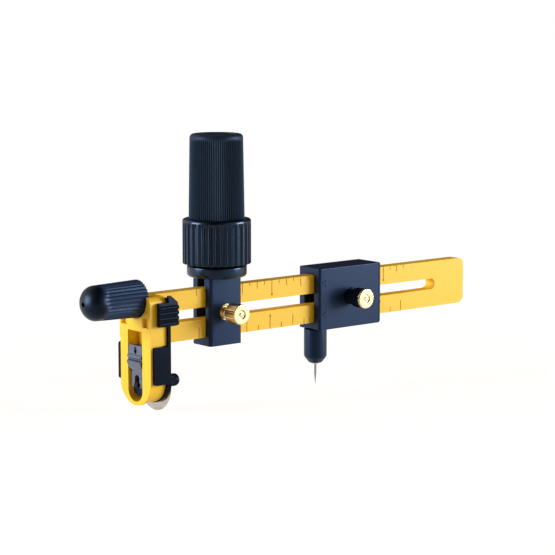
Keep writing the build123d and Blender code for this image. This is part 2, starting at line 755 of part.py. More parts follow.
with BuildPart() as pawl_spring:
    leaf_contact = nose_place + (pawl_nose + leaf_thickness) / 2 + seat_gap
    leaf_anchor = (collar_cavity_diameter - leaf_thickness) / 2 - seat_gap
    leaf_middle = (leaf_contact + 2 * leaf_anchor) / 3
    with BuildSketch(Plane.XY.offset(pawl_foot)):
        with BuildLine():
            Spline(
                around_handle(leaf_contact, pawl_angle),
                around_handle(leaf_middle, (pawl_angle + leaf_angle) / 2),
                around_handle(leaf_anchor, leaf_angle),
            )
        trace(line_width=leaf_thickness)
    extrude(amount=pawl_thickness)
save(pawl_spring.part, "pawl_spring")

# Fluted collar with the ratchet's cavity below and a neck for the grip above
with BuildPart() as grip_collar:
    with BuildSketch(Plane.XY.offset(collar_foot)):
        with Locations((handle_place, 0)):
            Circle(collar_diameter / 2)
    extrude(amount=collar_height)
    fillet(grip_collar.faces().sort_by(Axis.Z)[-1].edges(), collar_edge)
    with BuildSketch(Plane.XY.offset(collar_foot - overrun)):
        with Locations((handle_place, 0)):
            with PolarLocations(collar_diameter / 2 + flute_radius - flute_depth, collar_flutes):
                Circle(flute_radius)
    extrude(amount=collar_height - collar_edge + overrun, mode=Mode.SUBTRACT)
    bar(Plane.XY.offset(collar_top), (handle_place, 0), collar_neck_diameter, collar_neck_height)
    bar(Plane.XY.offset(collar_foot - overrun), (handle_place, 0), collar_cavity_diameter,
        collar_cavity_height + overrun, Mode.SUBTRACT)
    bar(Plane.XY.offset(collar_foot), (handle_place, 0), spindle_diameter + 2 * running_gap,
        collar_height + collar_neck_height + overrun, Mode.SUBTRACT)
    bar(Plane.XY.offset(collar_foot), around_handle(pawl_pin_place, 0), pawl_pin_diameter + 2 * seat_gap,
        collar_cavity_height + pawl_pin_hold, Mode.SUBTRACT)
save(grip_collar.part, "grip_collar")


def ribbed_outline(radius):
    """A round outline with fine ribs, as a closed zigzag."""
    points = []
    for rib in range(2 * grip_ribs):
        reach = radius if rib % 2 == 0 else radius - grip_rib_depth
        points.append(around_handle(reach, rib * 180 / grip_ribs))
    return points


# Ribbed grip, pressed on the collar's neck
with BuildPart() as handle_grip:
    grip_foot = collar_top + seat_gap
    for height, diameter in ((grip_foot, grip_foot_diameter), (grip_top, grip_top_diameter)):
        with BuildSketch(Plane.XY.offset(height)):
            with BuildLine():
                Polyline(*ribbed_outline(diameter / 2), close=True)
            make_face()
    loft(ruled=True)
    with BuildSketch(Plane.XZ):
        with BuildLine():
            reach = handle_place + grip_foot_diameter / 2 + overrun
            edge_start = handle_place + grip_top_diameter / 2 - grip_edge
            Polyline((edge_start, grip_top), (handle_place, grip_top), (handle_place, grip_foot),
                     (reach, grip_foot))
            Line((reach, grip_foot), (edge_start + grip_edge, grip_top - grip_edge))
            RadiusArc((edge_start + grip_edge, grip_top - grip_edge), (edge_start, grip_top), -grip_edge)
        make_face()
    revolve(axis=Axis((handle_place, 0, 0), (0, 0, 1)), mode=Mode.INTERSECT)
    bar(Plane.XY.offset(grip_foot - overrun), (handle_place, 0), collar_neck_diameter + 2 * seat_gap,
        grip_bore_depth + overrun, Mode.SUBTRACT)
    bar(Plane.XY.offset(grip_top - grip_dish_depth), (handle_place, 0), grip_dish_diameter,
        2 * grip_dish_depth, Mode.SUBTRACT)
save(handle_grip.part, "handle_grip")

# Pivot block with the spigot of the needle chuck
with BuildPart() as pivot_block:
    carriage(pivot_left, pivot_length, pivot_half, pivot_foot, pivot_top, pivot_corner)
    # rounded corners at the end away from the blade
    with BuildSketch(Plane.XZ.offset(-pivot_half - overrun)):
        with Locations((pivot_middle, (pivot_foot + pivot_top) / 2)):
            Rectangle(pivot_length, pivot_top - pivot_foot)
        fillet(vertices().group_by(Axis.X)[-1], pivot_end_round)
    extrude(amount=2 * (pivot_half + overrun), mode=Mode.INTERSECT)
    # two engraved arrows that point at the scale's rows
    index_tip = pivot_left + index_inset
    for row in (-1, 1):
        height = arm_middle + row * index_stand
        with BuildSketch(Plane.XZ.offset(pivot_half - index_depth)):
            with BuildLine():
                Polyline(
                    (index_tip + index_length, height + index_half),
                    (index_tip, height),
                    (index_tip + index_length, height - index_half),
                )
            trace(line_width=index_width)
        extrude(amount=index_depth + overrun, mode=Mode.SUBTRACT)
    bar(Plane.XY.offset(spigot_foot), (0, 0), spigot_diameter, pivot_foot - spigot_foot)
    bar(Plane.XY.offset(spigot_foot - overrun), (0, 0), needle_diameter + running_gap,
        needle_top - spigot_foot + overrun + seat_gap, Mode.SUBTRACT)
save(pivot_block.part, "pivot_block")

with BuildPart() as pivot_shoe:
    clamp_shoe(pivot_middle)
save(pivot_shoe.part, "pivot_shoe")

with BuildPart() as pivot_bush:
    screw_bush(pivot_middle, pivot_half)
save(pivot_bush.part, "pivot_bush")

# The pivot's screw keeps a brass rim and carries a dark knurled sleeve behind it
sleeve_root = pivot_half + screw_stand - screw_head_length
sleeve_length = screw_head_length - sleeve_rim
sleeve_bore = screw_head_diameter - 2 * sleeve_wall
with BuildPart() as pivot_screw:
    thumb_screw(pivot_middle, pivot_half)
    with BuildSketch(Plane.XZ.offset(sleeve_root)):
        with Locations((pivot_middle, arm_middle)):
            Circle(screw_head_diameter)
            Circle(sleeve_bore / 2, mode=Mode.SUBTRACT)
    extrude(amount=sleeve_length, mode=Mode.SUBTRACT)
save(pivot_screw.part, "pivot_screw")

with BuildPart() as screw_sleeve:
    sleeve_foot = pivot_half + running_gap
    knurled(sleeve_root, (pivot_middle, arm_middle), sleeve_length - seat_gap)
    bar(Plane.XZ.offset(sleeve_foot), (pivot_middle, arm_middle), sleeve_foot_diameter,
        sleeve_root - sleeve_foot)
    bar(Plane.XZ.offset(sleeve_root - seat_gap), (pivot_middle, arm_middle), sleeve_bore + 2 * seat_gap,
        sleeve_length + overrun, Mode.SUBTRACT)
    bar(Plane.XZ.offset(sleeve_foot - overrun), (pivot_middle, arm_middle), screw_neck + 2 * seat_gap,
        sleeve_length + overrun, Mode.SUBTRACT)
save(screw_sleeve.part, "screw_sleeve")

# Needle chuck: a sleeve on the spigot with a conical nose that closes the collet
with BuildPart() as needle_chuck:
    cone_lean = (collet_diameter - chuck_wall) / 4
    with BuildSketch(Plane.XZ):
        with BuildLine():
            Polyline(
                (spigot_diameter / 2 + running_gap, chuck_top),
                (chuck_diameter / 2, chuck_top),
                (chuck_diameter / 2, chuck_cone_top),
                (chuck_nose_diameter / 2, chuck_foot),
                (collet_diameter / 2 - cone_lean + running_gap, chuck_foot),
                (collet_diameter / 2 + running_gap, chuck_cone_top),
                (collet_diameter / 2 + running_gap, collet_top - running_gap),
                (spigot_diameter / 2 + running_gap, collet_top - running_gap),
                close=True,
            )
        make_face()
    revolve(axis=Axis.Z)
save(needle_chuck.part, "needle_chuck")

# Split collet that grips the needle
with BuildPart() as needle_collet:
    with BuildSketch(Plane.XZ):
        with BuildLine():
            Polyline(
                (needle_diameter / 2 + seat_gap, collet_top),
                (collet_diameter / 2, collet_top),
                (collet_diameter / 2, chuck_cone_top + running_gap),
                (collet_diameter / 2 - cone_lean, chuck_foot),
                (collet_diameter / 2 - cone_lean, collet_foot),
                (needle_diameter / 2 + seat_gap, collet_foot),
                close=True,
            )
        make_face()
    revolve(axis=Axis.Z)
    slit_height = chuck_cone_top - collet_foot + 2 * overrun
    for width, depth in ((2 * collet_diameter, collet_slit), (collet_slit, 2 * collet_diameter)):
        slab(Plane.XY.offset(collet_foot - overrun), (0, 0), width, depth, slit_height, Mode.SUBTRACT)
save(needle_collet.part, "needle_collet")

# Needle: a thin steel pin ground to a point
with BuildPart() as needle:
    with BuildSketch(Plane.XZ):
        with BuildLine():
            Polyline(
                (0, 0),
                (needle_tip_diameter / 2, 0),
                (needle_diameter / 2, needle_taper),
                (needle_diameter / 2, needle_top),
                (0, needle_top),
                close=True,
            )
        make_face()
    revolve(axis=Axis.Z)
save(needle.part, "needle")
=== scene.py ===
import json
from math import asin, cos, hypot, pi, radians, sin

import bmesh
import bpy
import numpy as np
from mathutils import Euler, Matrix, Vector


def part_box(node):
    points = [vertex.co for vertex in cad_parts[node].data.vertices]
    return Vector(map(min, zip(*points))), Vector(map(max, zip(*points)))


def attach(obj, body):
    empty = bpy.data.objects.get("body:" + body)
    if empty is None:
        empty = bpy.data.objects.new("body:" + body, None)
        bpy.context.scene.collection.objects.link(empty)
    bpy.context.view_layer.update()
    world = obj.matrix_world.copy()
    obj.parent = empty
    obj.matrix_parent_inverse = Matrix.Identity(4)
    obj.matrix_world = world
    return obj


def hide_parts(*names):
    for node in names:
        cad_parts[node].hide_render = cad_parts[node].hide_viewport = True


# Circle cutter with a rotary blade. The needle's point is the origin, +X runs along the arm away
# from the blade, the scale faces -Y and +Z is up. Lengths are in metres.
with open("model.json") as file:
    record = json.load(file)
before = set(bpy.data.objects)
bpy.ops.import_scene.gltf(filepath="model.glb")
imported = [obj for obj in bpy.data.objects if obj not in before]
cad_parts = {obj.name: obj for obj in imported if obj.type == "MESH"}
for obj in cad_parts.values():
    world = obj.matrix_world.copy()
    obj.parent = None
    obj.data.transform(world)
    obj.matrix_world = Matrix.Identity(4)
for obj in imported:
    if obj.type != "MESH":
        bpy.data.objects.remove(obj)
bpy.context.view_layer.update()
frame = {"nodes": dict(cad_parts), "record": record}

MM = 0.001
UP, OUT, FORWARD = (0, 0, 1), (1, 0, 0), (0, -1, 0)   # along the handle, the arm and the screws
SHARP = radians(35)   # an edge that turns by more than this isn't shaded smooth


# Colour and shader nodes
def srgb(text):
    """An sRGB colour such as F4B92E as linear values: c / 12.92 up to 0.04045, and above that
    ((c + 0.055) / 1.055) ** 2.4."""
    shares = [int(text[place:place + 2], 16) / 255 for place in (0, 2, 4)]
    return [c / 12.92 if c <= 0.04045 else ((c + 0.055) / 1.055) ** 2.4 for c in shares] + [1.0]


def add(material, kind, inputs=None, **settings):
    """Adds a node with its settings, and sets or links its inputs."""
    tree = material.node_tree
    node = tree.nodes.new(kind)
    for name, value in settings.items():
        setattr(node, name, value)
    for name, value in (inputs or {}).items():
        if isinstance(value, bpy.types.NodeSocket):
            tree.links.new(value, node.inputs[name])
        else:
            node.inputs[name].default_value = value
    return node


def surface(name, **values):
    """A new material and its shader, with the shader's plain values set on its own sockets."""
    material = bpy.data.materials.new(name)
    material.use_nodes = True
    shader = material.node_tree.nodes["Principled BSDF"]
    for socket, value in values.items():
        shader.inputs[socket.replace("_", " ")].default_value = value
    return material, shader


def place_of(material, stretch=(1, 1, 1)):
    """Object coordinates, stretched along the axes for a pattern with a direction."""
    source = add(material, "ShaderNodeTexCoord").outputs["Object"]
    return add(material, "ShaderNodeMapping", {"Vector": source, "Scale": stretch}).outputs["Vector"]


def link(material, source, shader, name):
    """Feeds one socket of the shader."""
    material.node_tree.links.new(source, shader.inputs[name])


def mottled(material, place, size, low, high):
    """Colour that drifts between two close tones over patches of a size in metres."""
    drift = add(material, "ShaderNodeTexNoise", {"Vector": place, "Scale": 1 / size, "Detail": 3.0})
    tones = {"Factor": drift.outputs["Fac"], "A": srgb(low), "B": srgb(high)}
    return add(material, "ShaderNodeMix", tones, data_type="RGBA").outputs["Result"]


def grained(material, shader, place, size, depth, rough):
    """A fine grain of a size and depth in metres, which also varies the roughness a little. The sizes used
    are coarser than the real grain of a mould or a grinding wheel, which would be too fine to show."""
    spread = 0.06
    noise = add(material, "ShaderNodeTexNoise", {"Vector": place, "Scale": 1 / size, "Detail": 4.0})
    grain = noise.outputs["Fac"]
    bump = add(material, "ShaderNodeBump", {"Height": grain, "Distance": depth, "Strength": 1.0})
    link(material, bump.outputs["Normal"], shader, "Normal")
    limits = {"Value": grain, "To Min": rough - spread, "To Max": rough + spread}
    link(material, add(material, "ShaderNodeMapRange", limits).outputs["Result"], shader, "Roughness")


def moulded_yellow(name, shade_in_marks=False):
    """Yellow ABS from a polished mould: an even, opaque colour with a soft sheen. On the arm, the floors of
    the engraved marks, below the front face, are painted darker: painted shade in the grooves."""
    material, shader = surface(name, IOR=1.54, Specular_IOR_Level=0.4)
    place = place_of(material)
    colour = mottled(material, place, 14 * MM, "F7CA28", "FBD53A")
    if shade_in_marks:
        front, shade_start, shade_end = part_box("ruler_arm")[0].y, 0.09 * MM, 0.13 * MM
        spot = add(material, "ShaderNodeSeparateXYZ", {0: place})
        below = {"Value": spot.outputs["Y"], "From Min": front + shade_start, "From Max": front + shade_end}
        floor = add(material, "ShaderNodeMapRange", below).outputs["Result"]
        normal = add(material, "ShaderNodeNewGeometry").outputs["Normal"]
        facing = add(material, "ShaderNodeSeparateXYZ", {0: normal}).outputs["Y"]
        flat = add(material, "ShaderNodeMath", {0: facing, 1: -0.9}, operation="LESS_THAN").outputs["Value"]
        painted_shade_mask = add(material, "ShaderNodeMath", {0: floor, 1: flat}, operation="MULTIPLY").outputs["Value"]
        # painted shade: the floors of the engraved marks take the darker tone C08A1C
        tones = {"Factor": painted_shade_mask, "A": colour, "B": srgb("C08A1C")}
        colour = add(material, "ShaderNodeMix", tones, data_type="RGBA").outputs["Result"]
    link(material, colour, shader, "Base Color")
    grained(material, shader, place, 0.5 * MM, 0.003 * MM, 0.42)
    return material


def moulded_black(name, rough, sheen, low, high, nose=None):
    """Black ABS with a cool cast: nearly black where it faces the dark, slate blue where it faces the light.
    A polished mould gives a crisp sheen and a finely sparked one a soft, weaker sheen, never a mirror. A nose
    that comes before a place along X is painted darker, as painted shade."""
    material, shader = surface(name, IOR=1.5, Specular_IOR_Level=sheen, Specular_Tint=srgb("9CC6FF"))
    place = place_of(material)
    colour = mottled(material, place, 9 * MM, low, high)
    if nose is not None:
        blur = 0.6 * MM
        spot = add(material, "ShaderNodeSeparateXYZ", {0: place})
        past_nose = {"Value": spot.outputs["X"], "From Min": nose - blur, "From Max": nose + blur}
        ribbed = add(material, "ShaderNodeMapRange", past_nose).outputs["Result"]
        # painted shade: the smooth nose takes the darker tone 070D15
        tones = {"Factor": ribbed, "A": srgb("070D15"), "B": colour}
        colour = add(material, "ShaderNodeMix", tones, data_type="RGBA").outputs["Result"]
    link(material, colour, shader, "Base Color")
    grained(material, shader, place, 0.4 * MM, 0.003 * MM, rough)
    return material


def turned_brass(name):
    """Brass turned on a lathe and left bright: pale gold, with a clear but slightly soft gloss."""
    material, shader = surface(name, Metallic=1.0)
    place = place_of(material)
    link(material, mottled(material, place, 3 * MM, "F1DA9C", "FCEBC0"), shader, "Base Color")
    grained(material, shader, place, 0.35 * MM, 0.003 * MM, 0.24)
    return material


def ground_steel(name, low, high, rough, stretch):
    """Steel that was drawn, rolled or ground: fine lines along the axis whose stretch is below 1, so that
    its gloss is broken up and softer than a mirror's."""
    material, shader = surface(name, Metallic=1.0)
    place = place_of(material, stretch)
    link(material, mottled(material, place, 2 * MM, low, high), shader, "Base Color")
    grained(material, shader, place, 0.25 * MM, 0.002 * MM, rough)
    return material


yellow_abs = moulded_yellow("moulded_yellow_abs")
shade_marked_abs = moulded_yellow("engraved_yellow_abs_painted_shade", shade_in_marks=True)
black_abs = moulded_black("moulded_black_abs", 0.30, 0.42, "0D1A30", "12213C")
block_abs = moulded_black("block_black_abs", 0.34, 0.38, "14213E", "192849")
bright_abs = moulded_black("bright_black_abs", 0.20, 0.80, "04080E", "070C14")
matt_abs = moulded_black("matt_black_abs", 0.44, 0.26, "1A2737", "202F42")
cap_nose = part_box("needle_cap")[0].x + 5.2 * MM
cap_abs = moulded_black("cap_black_abs", 0.34, 0.40, "21314E", "293A5C", cap_nose)
deep_abs = moulded_black("deep_black_abs", 0.36, 0.14, "060B16", "0B1120")
brass = turned_brass("turned_brass")
steel = ground_steel("drawn_steel", "8E9096", "B4B6BC", 0.28, (1, 1, 0.2))
spring_steel = ground_steel("rolled_spring_steel", "636B80", "8C95AA", 0.14, (1, 0.15, 1))
blade_steel = ground_steel("ground_blade_steel", "C9C8C6", "E4E3E0", 0.22, (1, 0.2, 1))
blackened_steel = ground_steel("oil_blackened_steel", "191A1F", "2A2B31", 0.32, (0.2, 1, 1))
finishes = {"yellow_abs": yellow_abs, "black_abs": black_abs, "brass": brass, "steel": steel,
            "spring_steel": spring_steel, "blade_steel": blade_steel, "blackened_steel": blackened_steel}


# Surfaces
def meshed(name, points, faces):
    """A mesh from points and faces, with doubles merged, faces turned outwards and sharp edges kept."""
    mesh = bpy.data.meshes.new(name)
    mesh.from_pydata(points.tolist(), [], faces.tolist())
    work = bmesh.new()
    work.from_mesh(mesh)
    bmesh.ops.remove_doubles(work, verts=work.verts, dist=0.0005 * MM)
    bmesh.ops.recalc_face_normals(work, faces=work.faces)
    work.to_mesh(mesh)
    work.free()
    mesh.shade_smooth()
    mesh.set_sharp_from_angle(angle=SHARP)
    piece = bpy.data.objects.new(name, mesh)
    bpy.context.scene.collection.objects.link(piece)
    return piece


def rounded(corners, steps=7):
    """A profile from corners (along, radius, rounding): a rounded corner is the parabola
    (1-t)^2 start + 2t(1-t) corner + t^2 end between points that far from it on its two sides."""
    corners = np.array(corners, float)
    share = np.linspace(0, 1, steps)[:, None]
    points = []
    for number, (along, radius, rounding) in enumerate(corners):
        place = np.array((along, radius))
        if rounding == 0:
            points.append(place[None])
            continue
        before = corners[number - 1, :2] - place
        after = corners[(number + 1) % len(corners), :2] - place
        start = place + rounding * before / np.linalg.norm(before)
        end = place + rounding * after / np.linalg.norm(after)
        points.append((1 - share) ** 2 * start + 2 * share * (1 - share) * place + share ** 2 * end)
    return np.concatenate(points)


def split_runs(profile, longest):
    """The profile with every run longer than a limit divided evenly, so that a relief can end along it."""
    points = [profile[:1]]
    for start, end in zip(profile[:-1], profile[1:]):
        count = max(1, int(np.ceil(np.linalg.norm(end - start) / longest)))
        share = np.linspace(0, 1, count + 1)[1:, None]
        points.append(start + share * (end - start))
    return np.concatenate(points)


def turned(name, profile, centre, axis, columns, relief=None):
    """A turned surface:
    point = centre + along * axis + (radius - relief) * (cos(angle) * side + sin(angle) * up),
    with the profile down the rows and the angle across. A profile that starts and ends on the axis closes
    there, and any other one closes on itself."""
    along, radius = profile[:, 0][:, None], profile[:, 1][:, None]
    angle = np.linspace(0, 2 * pi, columns, endpoint=False)[None]
    depth = relief(along, radius, angle) if relief else np.zeros((len(profile), columns))
    reach = radius - depth
    axis = np.array(axis, float)
    side = np.array((0.0, 0.0, 1.0)) if abs(axis[2]) < 0.5 else np.array((1.0, 0.0, 0.0))
    up = np.cross(axis, side)
    points = (np.array(centre) + along[..., None] * axis + (reach * np.cos(angle))[..., None] * side
              + (reach * np.sin(angle))[..., None] * up)
    closed = radius[0, 0] > 0
    rows = np.arange(len(profile)) if closed else np.arange(len(profile) - 1)
    here = rows[:, None] * columns
    below = (rows[:, None] + 1) % len(profile) * columns
    column = np.arange(columns)[None]
    beside = (column + 1) % columns
    faces = np.stack((here + column, here + beside, below + beside, below + column), -1).reshape(-1, 4)
    return meshed(name, points.reshape(-1, 3), faces)


def fade(value, start, end):
    """Zero before start and one after end, with the smooth step 3t^2 - 2t^3 between them."""
    share = np.clip((value - start) / (end - start), 0, 1)
    return share * share * (3 - 2 * share)


def waves(angle, count, sharpness=1.0):
    """Grooves round a turned part, 0 on a rib's crest and 1 in a groove's floor: half of
    1 - cos(count * angle), raised to the sharpness."""
    return (0.5 - 0.5 * np.cos(count * angle)) ** sharpness


def softened(name, node, width, share_at):
    """A copy of a CAD node's surface with its triangles joined into whole faces and its edges rounded. A
    sharp edge is rounded by a share of the full width, which depends on the edge's middle in mm."""
    work = bmesh.new()
    work.from_mesh(frame["nodes"][node].data)
    bmesh.ops.remove_doubles(work, verts=work.verts, dist=0.0005 * MM)
    bmesh.ops.dissolve_limit(work, angle_limit=radians(0.5), verts=work.verts, edges=work.edges)
    weight = work.edges.layers.float.new("bevel_weight_edge")
    for edge in work.edges:
        if edge.calc_face_angle(0.0) > SHARP:
            edge[weight] = share_at(*((edge.verts[0].co + edge.verts[1].co) / (2 * MM)))
    mesh = bpy.data.meshes.new(name)
    work.to_mesh(mesh)
    work.free()
    loose_normals = mesh.attributes.get("custom_normal")
    if loose_normals:
        mesh.attributes.remove(loose_normals)
    mesh.shade_smooth()
    piece = bpy.data.objects.new(name, mesh)
    bpy.context.scene.collection.objects.link(piece)
    bevel = piece.modifiers.new("broken_edges", "BEVEL")
    bevel.width = width
    bevel.segments = 3
    bevel.limit_method = "WEIGHT"
    bevel.harden_normals = True
    return piece


def finish(piece, material, body, slot, *nodes):
    """Gives a piece its material and its body, and lets it stand for CAD nodes. The slot is not used."""
    piece.data.materials.clear()
    piece.data.materials.append(material)
    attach(piece, body)
    if nodes:
        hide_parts(*nodes)


def centre_of(node):
    low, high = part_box(node)
    return (low + high) / 2


# Handle: a ribbed grip on a fluted collar, over the flange of its block
handle_x = centre_of("handle_flange").x
neck_radius = 5.5 * MM
spindle_radius = (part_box("handle_spindle")[1].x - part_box("handle_spindle")[0].x) / 2
play, seat = 0.1 * MM, 0.02 * MM   # between parts that turn on each other, and parts fitted together


def make_grip():
    low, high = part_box("handle_grip")
    foot_radius = (high.x - low.x) / 2
    top_radius = foot_radius - 0.45 * MM
    dish, dish_depth = 6.5 * MM, 0.5 * MM
    bore_top = low.z + 24 * MM
    rib_count, rib_depth = 80, 0.28 * MM
    profile = rounded([
        (bore_top, 0, 0),
        (bore_top, neck_radius, 0),
        (low.z, neck_radius, 0),
        (low.z, foot_radius, 0.25 * MM),
        (high.z, top_radius, 1.5 * MM),
        (high.z, dish, 0.3 * MM),
        (high.z - dish_depth, dish - 0.2 * MM, 0.3 * MM),
        (high.z - dish_depth, 0, 0),
    ], 9)

    def ribs(along, radius, angle):
        """Fine ribs that fade out where the rim's rounding starts."""
        outside = radius > dish + 0.5 * MM
        below_rim = 1 - fade(along, high.z - 2.1 * MM, high.z - 1.4 * MM)
        return rib_depth * waves(angle, rib_count, 0.8) * outside * below_rim

    piece = turned("ribbed_grip", split_runs(profile, 0.5 * MM), (handle_x, 0, 0), UP, 8 * rib_count, ribs)
    finish(piece, matt_abs, "handle", "black_abs", "handle_grip")


def make_collar():
    low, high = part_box("grip_collar")
    radius = (high.x - low.x) / 2
    shoulder = 60.6 * MM
    cavity_radius, cavity_top = 9.3 * MM, low.z + 4.9 * MM
    bore = spindle_radius + play
    profile = rounded([
        (cavity_top, bore, 0),
        (cavity_top, cavity_radius, 0.2 * MM),
        (low.z, cavity_radius, 0.15 * MM),
        (low.z, radius, 0.35 * MM),
        (shoulder, radius, 0.9 * MM),
        (shoulder, neck_radius - seat, 0),
        (high.z, neck_radius - seat, 0.3 * MM),
        (high.z, bore, 0.15 * MM),
    ], 7)
    flutes, cutter, bite = 30, 0.95 * MM, 0.7 * MM

    def flutes_cut(along, reach, angle):
        """Round flutes: sqrt(cutter^2 - offset^2) less the cutter's stand, run out under the shoulder."""
        turn = 2 * pi / flutes
        offset = (np.mod(angle + turn / 2, turn) - turn / 2) * radius
        cut = np.sqrt(np.clip(cutter ** 2 - offset ** 2, 0, None)) - (cutter - bite)
        outside = reach > radius - 0.5 * MM
        return np.clip(cut, 0, None) * outside * (1 - fade(along, shoulder - 1.7 * MM, shoulder - 1.0 * MM))

    profile = split_runs(profile, 0.6 * MM)
    piece = turned("fluted_collar", profile, (handle_x, 0, 0), UP, 20 * flutes, flutes_cut)
    finish(piece, bright_abs, "handle", "black_abs", "grip_collar")


def make_flange():
    low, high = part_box("handle_flange")
    radius = (high.x - low.x) / 2
    profile = rounded([
        (low.z, spindle_radius + seat, 0),
        (low.z, radius, 1.4 * MM),
        (high.z, radius, 0.5 * MM),
        (high.z, spindle_radius + seat, 0),
    ], 9)
    piece = turned("handle_flange_moulding", profile, (handle_x, 0, 0), UP, 128)
    finish(piece, bright_abs, "handle_carriage", "black_abs", "handle_flange")


make_grip()
make_collar()
make_flange()


# Needle cap, parked on the head's peg
def make_cap():
    low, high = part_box("needle_cap")
    middle = centre_of("needle_cap").z
    mouth_radius = (high.z - low.z) / 2
    nose_radius = mouth_radius - 0.4 * MM
    dome, hole, bore = 4.6 * MM, 0.8 * MM, 4.25 * MM
    bore_end = high.x - 17 * MM
    rib_count, rib_depth = 32, 0.3 * MM
    turn = np.linspace(asin(hole / nose_radius), pi / 2, 24)
    shell = np.stack((low.x + dome * (1 - np.cos(turn)), nose_radius * np.sin(turn)), -1)
    outside = rounded([
        (low.x + dome, nose_radius, 0),
        (high.x, mouth_radius, 0.5 * MM),
        (high.x, bore, 0.3 * MM),
        (bore_end, bore, 0),
        (bore_end, hole, 0),
    ], 7)
    profile = split_runs(np.concatenate((shell, outside[1:])), 0.5 * MM)

    def ribs(along, radius, angle):
        """Shallow ribs from the end of the smooth nose to the mouth."""
        start = low.x + dome + 0.3 * MM
        walls = radius > bore + 0.5 * MM
        return rib_depth * waves(angle, rib_count, 0.6) * walls * fade(along, start, start + 2.2 * MM)

    piece = turned("ribbed_cap", profile, (0, 0, middle), OUT, 12 * rib_count, ribs)
    finish(piece, cap_abs, "cap", "black_abs", "needle_cap")


make_cap()


# Clamping screws: turned brass with a straight knurl, and the dark sleeve on the pivot's one
knurl_count, knurl_depth = 28, 0.22 * MM
thread_pitch, thread_depth = 0.5 * MM, 0.16 * MM


def knurl(angle):
    """A straight V knurl, as a triangle wave: 0 on a crest, 1 in a groove, and straight between them."""
    return np.abs(np.mod(angle * knurl_count / (2 * pi), 1) - 0.5) * 2


def make_screw(name, node, body, sleeved):
    low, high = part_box(node)
    middle = centre_of(node)
    face, tip = -low.y, -high.y
    head = (high.z - low.z) / 2
    root = face - 5.2 * MM
    rim = face - 0.8 * MM
    block_face = root - 3.0 * MM
    behind = (head - 1.0 * MM) if sleeved else head
    thread, neck = 1.5 * MM, 1.75 * MM
    dimple, boss = face - 0.35 * MM, face - 0.12 * MM
    dimple_rim, dimple_wall = 1.55 * MM, 1.25 * MM
    boss_foot, boss_rim = 0.85 * MM, 0.6 * MM
    corners = [
        (tip, 0, 0),
        (tip, thread, 0.3 * MM),
        (block_face + play, thread, 0),
        (block_face + play, neck, 0.1 * MM),
        (root, neck, 0.1 * MM),
        (root, behind, 0.25 * MM),
    ]
    if sleeved:
        corners += [(rim, behind, 0), (rim, head, 0.12 * MM)]
    corners += [
        (face, head, 0.4 * MM),
        (face, dimple_rim, 0.08 * MM),
        (dimple, dimple_wall, 0.1 * MM),
        (dimple, boss_foot, 0.1 * MM),
        (boss, boss_rim, 0.1 * MM),
        (boss, 0, 0),
    ]
    profile = split_runs(rounded(corners, 5), 0.07 * MM)

    def cut(along, radius, angle):
        """The knurl on the head's rim, and a thread whose crest climbs one pitch in each turn."""
        barrel = radius > head - 0.35 * MM
        first = rim if sleeved else root
        ends = fade(along, first, first + 0.3 * MM) * (1 - fade(along, face - 0.45 * MM, face - 0.2 * MM))
        lines = knurl_depth * knurl(angle) * barrel * ends
        threaded = (along < block_face) & (radius > 1.0 * MM)
        climb = np.mod(along / thread_pitch - angle / (2 * pi), 1)
        return lines + thread_depth * np.abs(climb - 0.5) * 2 * threaded

    piece = turned(name, profile, (middle.x, 0, middle.z), FORWARD, knurl_count * 6, cut)
    finish(piece, brass, body, "brass", node)


def make_sleeve():
    low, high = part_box("screw_sleeve")
    middle = centre_of("screw_sleeve")
    radius = (high.z - low.z) / 2
    start, end = -high.y, -low.y
    root = end - 4.38 * MM
    foot, neck, bore = 2.8 * MM, 1.77 * MM, radius - 0.98 * MM
    profile = split_runs(rounded([
        (start, neck, 0.1 * MM),
        (start, foot, 0.15 * MM),
        (root, foot, 0.1 * MM),
        (root, radius, 0.35 * MM),
        (end, radius, 0.15 * MM),
        (end, bore, 0.1 * MM),
        (root - seat, bore, 0),
        (root - seat, neck, 0),
    ], 5), 0.3 * MM)

    def lines(along, reach, angle):
        """The same straight knurl as on the brass."""
        return knurl_depth * knurl(angle) * (reach > radius - 0.4 * MM) * fade(along, root, root + 0.4 * MM)

    piece = turned("knurled_sleeve", profile, (middle.x, 0, middle.z), FORWARD, knurl_count * 8, lines)
    finish(piece, black_abs, "pivot_screw", "black_abs", "screw_sleeve")


make_screw("handle_clamp_screw", "handle_screw", "handle_screw", False)
make_screw("pivot_clamp_screw", "pivot_screw", "pivot_screw", True)
make_sleeve()


# Blade, its pin and its knob
def make_blade():
    low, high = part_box("blade")
    middle = centre_of("blade").z
    radius, bore, bevel = (high.z - low.z) / 2, 2.5 * MM, 0.9 * MM
    profile = split_runs(rounded([
        (low.x, bore, 0.04 * MM),
        (low.x, radius - bevel, 0.05 * MM),
        ((low.x + high.x) / 2, radius, 0),
        (high.x, radius - bevel, 0.05 * MM),
        (high.x, bore, 0.04 * MM),
    ], 3), 1.5 * MM)
    piece = turned("round_blade", profile, (0, 0, middle), OUT, 240)
    bevel_turn = radians(8)   # less than the bevel turns from the blade's side, so its edge stays sharp
    piece.data.set_sharp_from_angle(angle=bevel_turn)
    finish(piece, blade_steel, "blade", "blade_steel", "blade")


